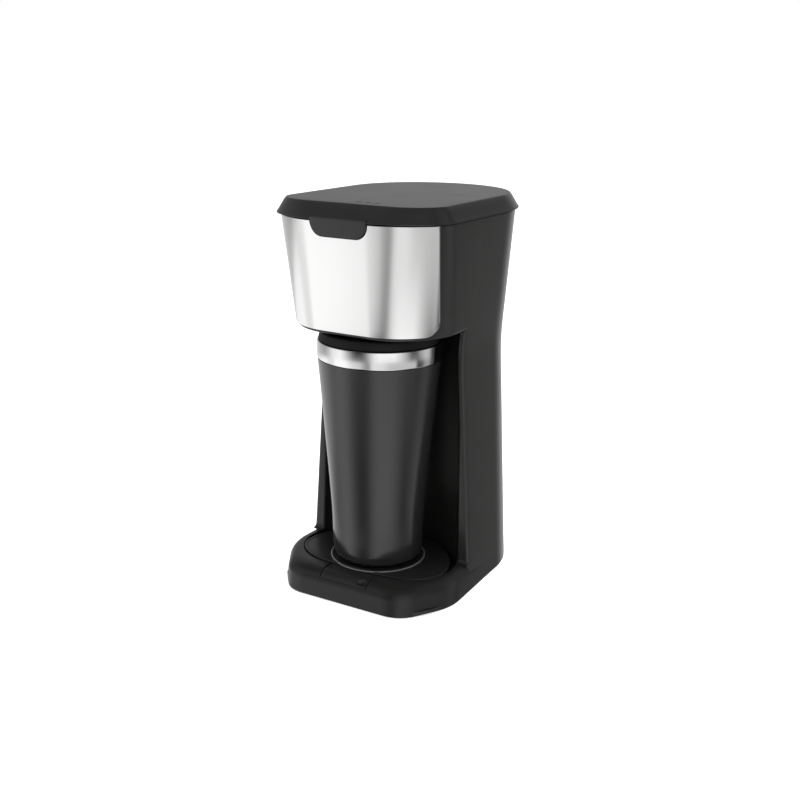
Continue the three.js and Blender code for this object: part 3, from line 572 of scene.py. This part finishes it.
def on_bow(x, z, offset):
    """Points on the bow for a column's X at the top: columns lean in downwards as the head narrows."""
    drawn = x * (1 - NARROWING * (HEAD_TOP - z) / (HEAD_TOP - HEAD_FLOOR))
    return np.stack([drawn, bow(drawn, z, offset), z], axis=-1)


def notch_floor(x):
    past = np.maximum(0, np.abs(x) - (NOTCH_HALF - NOTCH_CORNER))
    return NOTCH_FLOOR + NOTCH_CORNER - np.sqrt(np.maximum(0, NOTCH_CORNER ** 2 - past ** 2))


def folded(xs, low, high, front, back, fold, rows):
    """Closed sheet on the bow between two heights for each column, rounded at its edges by fold mm."""
    ease = np.radians(np.linspace(0, 90, 4))
    fold_steps = [(front - fold * (1 - s), fold * (1 - c)) for s, c in zip(np.sin(ease), np.cos(ease))]
    grid = [on_bow(xs, low + inset, offset) for offset, inset in fold_steps]
    for share in np.linspace(0, 1, rows)[1:-1]:
        grid.append(on_bow(xs, low + fold + (high - low - 2 * fold) * share, front))
    grid += [on_bow(xs, high - inset, offset) for offset, inset in reversed(fold_steps)]
    grid.append(on_bow(xs, high, back))
    grid.append(on_bow(xs, low, back))
    return np.array(grid)


edge = PANEL_HALF - np.concatenate([np.linspace(0, 1, 6) ** 2 * 2.4, np.linspace(3.2, 36, 22)])
beside_notch = NOTCH_HALF - NOTCH_CORNER * (1 - np.sin(np.radians(np.linspace(90, 0, 16))))
across_half = np.concatenate([edge, [NOTCH_HALF + 0.5, NOTCH_HALF + 0.02], beside_notch, [9, 6, 3]])
xs = np.concatenate([-across_half, [0], across_half[::-1]])
corner_at = np.maximum(0, PANEL_CORNER - (PANEL_HALF - np.abs(xs)) * 1.6)
low = PANEL_LOW + PANEL_CORNER - np.sqrt(PANEL_CORNER ** 2 - corner_at ** 2)
high = np.where(np.abs(xs) > NOTCH_HALF, PANEL_HIGH, notch_floor(xs))
panel = piece(
    "front_panel_skin", np.transpose(folded(xs, low, high, 1.1, 0.45, 0.25, 14), (1, 0, 2)), panel_steel, "housing",
)
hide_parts("front_panel")

# ---- lid ------------------------------------------------------------------------------------
# One low dished moulding: a thin flared lip, a rounded shoulder, and a nearly flat top with
# three steam slots. A grip tongue hangs down into the panel's notch.
lid_plastic = surface("lid_black_plastic", (0.0135, 0.0135, 0.0132), 0.31, grain=0.01, uneven=0.03, tint=0.08)
LIP_LOW, LID_TOP = 264.5, 275.0
LIP_PLAN, TOP_PLAN = (65.4, -53.0, 44.0, 36.0), (58.4, -40.5, 25.0, 22.0)  # side, front, corner's reach in X and Y


def lid_ring(rise, z, inset=0.0):
    """Outline part of the way from the lip's to the top's. A rise beyond 1 lies on the top."""
    side, front, across, along = (lip + (top - lip) * rise for lip, top in zip(LIP_PLAN, TOP_PLAN))
    side, front, reach = side - inset, front + inset, (across - inset, along - inset)
    return level(plan(front, side, reach, side, front_xs=(0,), steps=40), z)


LID_PROFILE = [  # share of the way in, height
    (0.06, 264.5), (0.005, 264.6), (-0.005, 264.85), (0.0, 265.15), (0.03, 265.45), (0.08, 265.9), (0.15, 266.6),
    (0.25, 267.7), (0.38, 269.2), (0.52, 270.8), (0.66, 272.3), (0.78, 273.5), (0.86, 274.2), (0.9, 274.5),
    (0.93, 274.68), (0.98, 274.8), (1.06, 274.86), (1.3, 274.92),
]
LID_MIDDLE = np.array([0.0, 38.0])
inner = lid_ring(0.06, LIP_LOW, 3.0)
rings = [level(shrunk(inner[:, :2], s, LID_MIDDLE), LIP_LOW + 0.2) for s in (0, 0.5, 1)]
rings += [lid_ring(rise, z) for rise, z in LID_PROFILE]
top = lid_ring(1.3, LID_TOP)
rings += [level(shrunk(top[:, :2], s, LID_MIDDLE), LID_TOP - 0.06 * s) for s in (0.95, 0.88, 0.7, 0.45, 0.2, 0)]
lid = piece("lid_shell", np.array(rings), lid_plastic, "lid", sharp=30)

STEAM_SLOTS, SLOT_Y, SLOT_WIDTH = [(2.8, 5.4), (9.6, 4.6), (16.4, 4.6)], -31.6, 1.6  # centre X and length of each
cutters = bmesh.new()
for x, length in STEAM_SLOTS:
    place = Matrix.Translation((x / 1000, AXIS_Y + SLOT_Y / 1000, 0.2745))
    place = place @ Matrix.Diagonal((length / 1000, SLOT_WIDTH / 1000, 0.004, 1))
    bmesh.ops.create_cube(cutters, size=1.0, matrix=place)
slot_mesh = bpy.data.meshes.new("slot_cutter")
cutters.to_mesh(slot_mesh)
cutters.free()
slot_cutter = bpy.data.objects.new("slot_cutter", slot_mesh)
bpy.context.scene.collection.objects.link(slot_cutter)


def carved(obj, cutter):
    """Cuts a closed cutter out of a closed piece for good, and removes the cutter."""
    cut = obj.modifiers.new("cut", "BOOLEAN")
    cut.operation, cut.object, cut.solver = "DIFFERENCE", cutter, "EXACT"
    while obj.modifiers[0] != cut:
        bpy.context.view_layer.objects.active = obj
        bpy.ops.object.modifier_move_up(modifier="cut")
    bpy.context.view_layer.objects.active = obj
    bpy.ops.object.modifier_apply(modifier="cut")
    bpy.data.objects.remove(cutter)


carved(lid, slot_cutter)

beside_tongue = NOTCH_HALF - 0.4 - NOTCH_CORNER * (1 - np.sin(np.radians(np.linspace(88, 0, 18))))
tongue_half = np.concatenate([beside_tongue, [9, 6, 3]])
xs = np.concatenate([-tongue_half, [0], tongue_half[::-1]])
tongue_low = notch_floor(np.abs(xs) + 0.35) + 0.45
piece(
    "lid_tongue", np.transpose(folded(xs, tongue_low, np.full(len(xs), 266.4), 2.1, 0.6, 0.6, 8), (1, 0, 2)),
    lid_plastic, "lid",
)
barrel("lid_barrel", -15.5, 15.5, None, lid_plastic, "lid")
strap_y = np.array([124.9, HINGE_Y + BARREL - 0.4])
strap = []
for x, ease in [(-15.5, 0.4), (-15.1, 0), (15.1, 0), (15.5, 0.4)]:
    strap.append([[x, y, z] for y, z in [
        (strap_y[0], HINGE_Z + ease), (strap_y[1] - 0.5, HINGE_Z + ease), (strap_y[1] - ease, HINGE_Z + 1.5),
        (strap_y[1] - ease, 264.9 - ease), (strap_y[1] - 0.9, 265.7 - ease), (strap_y[0], 265.7 - ease),
    ]])
strap = np.array(strap)
ends = np.array([np.repeat(strap[k].mean(axis=0)[None], strap.shape[1], axis=0) for k in (0, -1)])
piece("lid_hinge_strap", np.concatenate([ends[:1], strap, ends[1:]]), lid_plastic, "lid")
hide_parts("lid_cover")


# ---- travel mug -----------------------------------------------------------------------------
# Double-walled: an enamelled outer shell, narrow at the foot, and a polished steel liner whose
# rim shows as a bright band. A black push-in lid closes it.
def turned(name, profile, material, body, count=112, sharp=42.0, centre=(0.0, 0.0)):
    """Surface of revolution about an upright axis: radius and height along a closed profile, carried round
    a circle. A profile that starts and ends on the axis is closed by its poles."""
    r, z = np.array(profile, float).T
    a = np.linspace(0, 2 * math.pi, count, endpoint=False)
    grid = np.stack([
        centre[0] + r[:, None] * np.cos(a), centre[1] + r[:, None] * np.sin(a), np.repeat(z[:, None], count, axis=1),
    ], axis=-1)
    closed = r[0] > 0 or r[-1] > 0
    return piece(name, grid, material, body, along=closed, sharp=sharp)


def eased(points, count):
    """A smooth curve through profile points: cubic Hermite with slopes from the neighbours."""
    p = np.array(points, float)
    d = np.concatenate([[0], np.cumsum(np.hypot(*np.diff(p, axis=0).T))])
    slope = np.gradient(p, d, axis=0)
    at = np.linspace(0, d[-1], count)
    k = np.clip(np.searchsorted(d, at, side="right") - 1, 0, len(d) - 2)
    h = d[k + 1] - d[k]
    t = ((at - d[k]) / h)[:, None]
    h = h[:, None]
    blend = (2 * t ** 3 - 3 * t ** 2 + 1) * p[k] + (t ** 3 - 2 * t ** 2 + t) * h * slope[k]
    return blend + (3 * t ** 2 - 2 * t ** 3) * p[k + 1] + (t ** 3 - t ** 2) * h * slope[k + 1]


mug_enamel = surface(
    "satin_black_enamel", (0.0125, 0.0125, 0.0128), 0.2, grain=0.001, uneven=0.008, tint=0.06, index=1.62,
)
mug_steel = surface(
    "polished_steel", (0.9, 0.9, 0.9), 0.08, metallic=1.0, grain=0.001, grain_size=0.15, uneven=0.01, tint=0.01,
    stretch=(0.05, 0.05, 1),
)
# The push lid is black plastic, coloured darker still than the other blacks: painted shade for the shadow the head
# casts over it.
mug_lid_black_painted_shade = surface(
    "mug_lid_black_plastic_painted_shade", (0.005, 0.005, 0.005), 0.55, grain=0.01, uneven=0.02, tint=0.08, index=1.35,
)
SHELL = [(32.5, 35), (32.9, 51), (34.7, 77), (37.3, 107), (40, 138), (42.6, 166)]
foot = [(24.5, 22.4), (27.2, 22.5), (29.3, 23.2), (30.8, 24.8), (31.7, 27.5), (32.2, 30.6)]
shell_profile = [(0, 22.4), (18, 22.4), *eased(foot, 14), *eased(SHELL, 40)]
shell_profile += [(42.75, 167.2), (42.72, 167.5), (42.5, 167.7)]
shell_profile += [(40.6, 167.7), (40.4, 167.4), (40.4, 166), (30.4, 40), (28, 26), (0, 26)]
mug_shell = turned("mug_outer_shell", shell_profile, mug_enamel, "mug", 128)
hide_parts("mug_shell")
rim_arc = np.radians(np.linspace(0, 90, 6))
liner_profile = [(39.4, 166.2), (39.4, 168), (42.6, 168.0), (42.88, 168.15), (43, 168.5), (43, 174), (43, 179.2)]
liner_profile += [(42.2 + 0.8 * math.cos(a), 179.2 + 0.8 * math.sin(a)) for a in rim_arc]
liner_profile += [(41.2, 180), (41, 179.8), (38.6, 165), (31, 60), (28.6, 33), (26, 29.6), (0, 29)]
liner_profile += [(0, 28), (27, 28.4), (30, 34), (38, 158)]
mug_liner = turned("mug_steel_liner", liner_profile, mug_steel, "mug", 128)
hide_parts("mug_liner")
DECK = 184.2
mug_lid_profile = [
    (0, DECK), (30, DECK), (36.6, DECK), (37.6, DECK + 0.25), (38.05, DECK + 0.9), (38.3, 185.7), (38.7, 186.3),
    (39.3, 186.5), (40.1, 186.45), (40.75, 186.0), (41.1, 185.2), (41.5, 183.6), (42.05, 181.4), (42.2, 180.9),
    (42.0, 180.5), (39.2, 180.4), (39.0, 180), (39.0, 173.2), (38.8, 173), (37.2, 173), (37, 173.2), (37, 182.0),
    (36, 182.2), (0, 182.2),
]
mug_lid = turned("mug_push_lid", mug_lid_profile, mug_lid_black_painted_shade, "mug", 112)
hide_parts("mug_lid")
a = np.linspace(0, 2 * math.pi, 40, endpoint=False)
stadium = np.stack([5.4 * np.cos(a), -30 + 3 * np.sin(a)], axis=1)
hole_middle = np.array([0.0, -30.0])
hole_rings = [level(shrunk(stadium, s, hole_middle), z) for s, z in ((0, 178), (1, 178), (1, 188), (0, 188))]
sip_hole = piece("sip_cutter", np.array(hole_rings), mug_lid_black_painted_shade, "mug")
carved(mug_lid, sip_hole)

# ---- drip tray ------------------------------------------------------------------------------
# Shallow pan under the mug with a flat slotted plate on it, and a sloping finger tab that
# closes the gap in the base's rim. A scoop near the tab's end takes a fingertip.
tray_plastic = surface("tray_black_plastic", (0.0095, 0.0095, 0.0093), 0.36, grain=0.012, uneven=0.03, tint=0.1)
TRAY_FRONT, TRAY_SIDE, TRAY_TOP, TRAY_LOW, TRAY_REACH = -31.0, 56.4, 21.2, 12.3, (34.0, 25.0)


def tray_ring(inset, z):
    reach = (TRAY_REACH[0] - inset, TRAY_REACH[1] - inset)
    side = TRAY_SIDE - inset
    outline = plan(
        TRAY_FRONT + inset, side, reach, side, centre=-6, depth=49 - inset, front_xs=(0, 4, 8, 12, 16, 20), steps=34,
    )
    return level(outline, z)


TRAY_MIDDLE = np.array([0.0, 3.0])
rings = [level(shrunk(tray_ring(1.5, 0)[:, :2], s, TRAY_MIDDLE), TRAY_LOW) for s in (0, 0.6)]
rings += [tray_ring(i, z) for i, z in [
    (1.2, 12.3), (0.4, 12.6), (0, 13.2), (0, 18.3), (0.2, 18.7), (0.6, 18.8), (1.2, 18.7), (1.6, 18.3), (1.6, 14.6),
    (2.4, 13.9),
]]
rings += [level(shrunk(tray_ring(2.4, 0)[:, :2], s, TRAY_MIDDLE), 13.9) for s in (0.6, 0)]
pan = piece("tray_pan", np.array(rings), tray_plastic, "housing")

# The tab's section, Y and height, is carried along X. It follows the rim's crown down to the
# toe, and is cut off level just under the crown's top.
TAB_TOP, TAB_HALF = 20.3, 18.4
SCOOP_X, SCOOP_Y, SCOOP_FLOOR, SCOOP_RADIUS, SCOOP_EDGE = 14.0, -46.6, 17.0, 3.9, 0.7
turns = np.radians(np.linspace(76, 24.2, 14))
share = RIM_SHARE * (1 - np.cos(turns) ** CROWN)
crown_z = SHOULDER + (RIM - SHOULDER) * np.sin(turns) ** CROWN
crown_y = (BASE_FRONT + DRAFT * crown_z) * (1 - share) + WELL_FRONT * share
tab_back = [(-31.0, 15.9), (-31.0, 19.6), (-31.2, 20.0), (-31.7, 20.2)]
tab_section = np.vstack([tab_back, np.column_stack([crown_y, np.minimum(crown_z, TAB_TOP)])])
tab_section = np.vstack([resampled(tab_section[k:k + 2], 5 if tab_section[k, 0] < -41 else 2) for k in range(17)])
tab_section = np.vstack([[-31.0, 15.9], tab_section, [[-40, 15.9]]])
tab_xs = np.concatenate([
    [-TAB_HALF, -18.3, -18.0, -17], np.linspace(-14, 8, 9), np.linspace(9, 18, 46), [18.3, TAB_HALF],
])
pinch = np.interp(np.abs(tab_xs), [18.0, 18.3, TAB_HALF], [0, 0.1, 0.4])
tab = np.stack([
    np.repeat(tab_xs[:, None], len(tab_section), axis=1),
    np.repeat(tab_section[None, :, 0], len(tab_xs), axis=0),
    tab_section[None, :, 1] - pinch[:, None] * (tab_section[None, :, 1] > 16),
], axis=-1)
away = np.hypot(tab[..., 0] - SCOOP_X, (tab[..., 1] - SCOOP_Y) * 0.9)
scoop = np.clip((SCOOP_RADIUS - away) / SCOOP_EDGE, 0, 1)
tab_z = tab[..., 2]
lowered = tab_z + (np.minimum(tab_z, SCOOP_FLOOR) - tab_z) * scoop * scoop * (3 - 2 * scoop)
tab[..., 2] = np.where(tab_z > 16.2, lowered, tab_z)
caps = [np.repeat(tab[k].mean(axis=0)[None], tab.shape[1], axis=0)[None] for k in (0, -1)]
piece("tray_tab", np.concatenate([caps[0], tab, caps[1]]), tray_plastic, "housing")
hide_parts("drip_tray")

rings = [level(shrunk(tray_ring(0.8, 0)[:, :2], s, TRAY_MIDDLE), TRAY_TOP - 2.1) for s in (0, 0.6)]
rings += [tray_ring(i, z) for i, z in [
    (0.8, 19.1), (0.2, 19.3), (0, 19.8), (0, 20.3), (0.15, 20.75), (0.5, 21.08), (1.0, 21.2), (1.8, 21.2),
    (2.1, 21.05), (2.5, 20.9), (3.2, 20.9),
]]
rings += [level(shrunk(tray_ring(3.2, 0)[:, :2], s, TRAY_MIDDLE), 20.9) for s in (0.9, 0.7, 0.4, 0)]
plate = piece("tray_plate_top", np.array(rings), tray_plastic, "housing")
DRAIN_COUNT, DRAIN_RADIUS, DRAIN_HALF, DRAIN_OUT = 8, 1.5, 6.5, 18.0
a = np.linspace(0, 2 * math.pi, 24, endpoint=False)
oval = DRAIN_RADIUS * np.stack([np.cos(a), np.sin(a)], axis=1)
oval[:, 1] += np.where(np.sin(a) >= 0, DRAIN_HALF, -DRAIN_HALF)
for k in range(DRAIN_COUNT):
    turn = (k + 0.5) * 2 * math.pi / DRAIN_COUNT
    spin = np.array([[math.cos(turn), -math.sin(turn)], [math.sin(turn), math.cos(turn)]])
    ring = (oval + [0, DRAIN_OUT]) @ spin.T
    middle = ring.mean(axis=0)
    slot_rings = [level(shrunk(ring, s, middle), z) for s, z in ((0, 17), (1, 17), (1, 23), (0, 23))]
    carved(plate, piece("plate_slot", np.array(slot_rings), tray_plastic, "housing"))
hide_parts("tray_plate")
# The stand ring is coloured light grey and part metal, much lighter than the black tray round it: a painted
# highlight for the bright arc at the mug's foot.
ring_painted_highlight = surface("grey_ring_painted_highlight", (0.14, 0.14, 0.14), 0.22, metallic=0.3, uneven=0.02, tint=0.05)
ring_profile = [(32.5, 20.8), (32.6, 21.1), (32.9, 21.34), (33.3, 21.42), (33.7, 21.34), (34.0, 21.1), (34.1, 20.8)]
turned("mug_stand_ring", ring_profile, ring_painted_highlight, "housing", 96)

# ---- carried nodes --------------------------------------------------------------------------
# Screws, feet, hoses, heater and the other moulded or pressed parts keep their own solids.
carried = {
    "housing_black": housing_plastic,
    "tray_black": tray_plastic,
    "lid_black": lid_plastic,
    "panel_steel": panel_steel,
    "filter_black": surface("filter_black_plastic", (0.014, 0.014, 0.014), 0.42, grain=0.015, uneven=0.03, tint=0.1),
    "filter_gold": surface(
        "gold_mesh", (0.72, 0.5, 0.2), 0.35, metallic=1.0, grain=0.05, grain_size=0.4, uneven=0.03,
    ),
    "screw_steel": surface("plated_steel", (0.62, 0.62, 0.64), 0.3, metallic=1.0, grain=0.004, uneven=0.04),
    "foot_rubber": surface("matte_rubber", (0.022, 0.022, 0.022), 0.75, grain=0.03, uneven=0.05, tint=0.1),
    "silicone": surface("silicone", (0.75, 0.73, 0.68), 0.5, grain=0.01, uneven=0.04, tint=0.03),
    "tank_plastic": surface("frosted_tank", (0.62, 0.66, 0.69), 0.42, grain=0.01, uneven=0.04, tint=0.03),
    "heater_aluminium": surface(
        "cast_aluminium", (0.6, 0.6, 0.62), 0.5, metallic=1.0, grain=0.06, uneven=0.06, tint=0.05,
    ),
    "element_steel": surface(
        "sheath_steel", (0.35, 0.34, 0.33), 0.4, metallic=1.0, grain=0.01, uneven=0.05, tint=0.1,
    ),
    "insulator": surface("heatproof_plastic", (0.78, 0.76, 0.7), 0.55, grain=0.02, uneven=0.04, tint=0.04),
    "lamp_red": surface("red_lens", (0.5, 0.02, 0.01), 0.15, uneven=0.02, tint=0.05),
    "mug_black": mug_enamel,
    "mug_lid_black": mug_lid_black_painted_shade,
    "mug_steel": mug_steel,
}
slot_of = {part["node"]: part["material_slot"] for part in frame["record"]["subparts"]}
for name, node in frame["nodes"].items():
    node.data.materials.clear()
    node.data.materials.append(carried[slot_of[name]])

# ---- table ----------------------------------------------------------------------------------
# Plain white table that runs out of sight.
TABLE_HALF = 6.0
table_mesh = bpy.data.meshes.new("table")
corners = [(TABLE_HALF * x, TABLE_HALF * y, 0) for x, y in ((-1, -1), (1, -1), (1, 1), (-1, 1))]
table_mesh.from_pydata(corners, [], [(0, 1, 2, 3)])
table = bpy.data.objects.new("table", table_mesh)
bpy.context.scene.collection.objects.link(table)
white, at = new_material("white_table")
here = at.node("TexCoord", output="Object")
soft = at.node("TexNoise", inputs={"Vector": here, "Scale": 3.0, "Detail": 1.0})
tone = at.node("Mix", {"data_type": "RGBA"}, {0: soft, 6: (0.93, 0.93, 0.93, 1), 7: (0.94, 0.94, 0.94, 1)}, output=2)
cloth = at.node(
    "BsdfPrincipled",
    inputs={"Base Color": tone, "Roughness": 0.9, "Emission Color": (1, 1, 1, 1), "Emission Strength": 0.5},
)
at.node("OutputMaterial", inputs={0: cloth})
table_mesh.materials.append(white)
table.visible_glossy = False
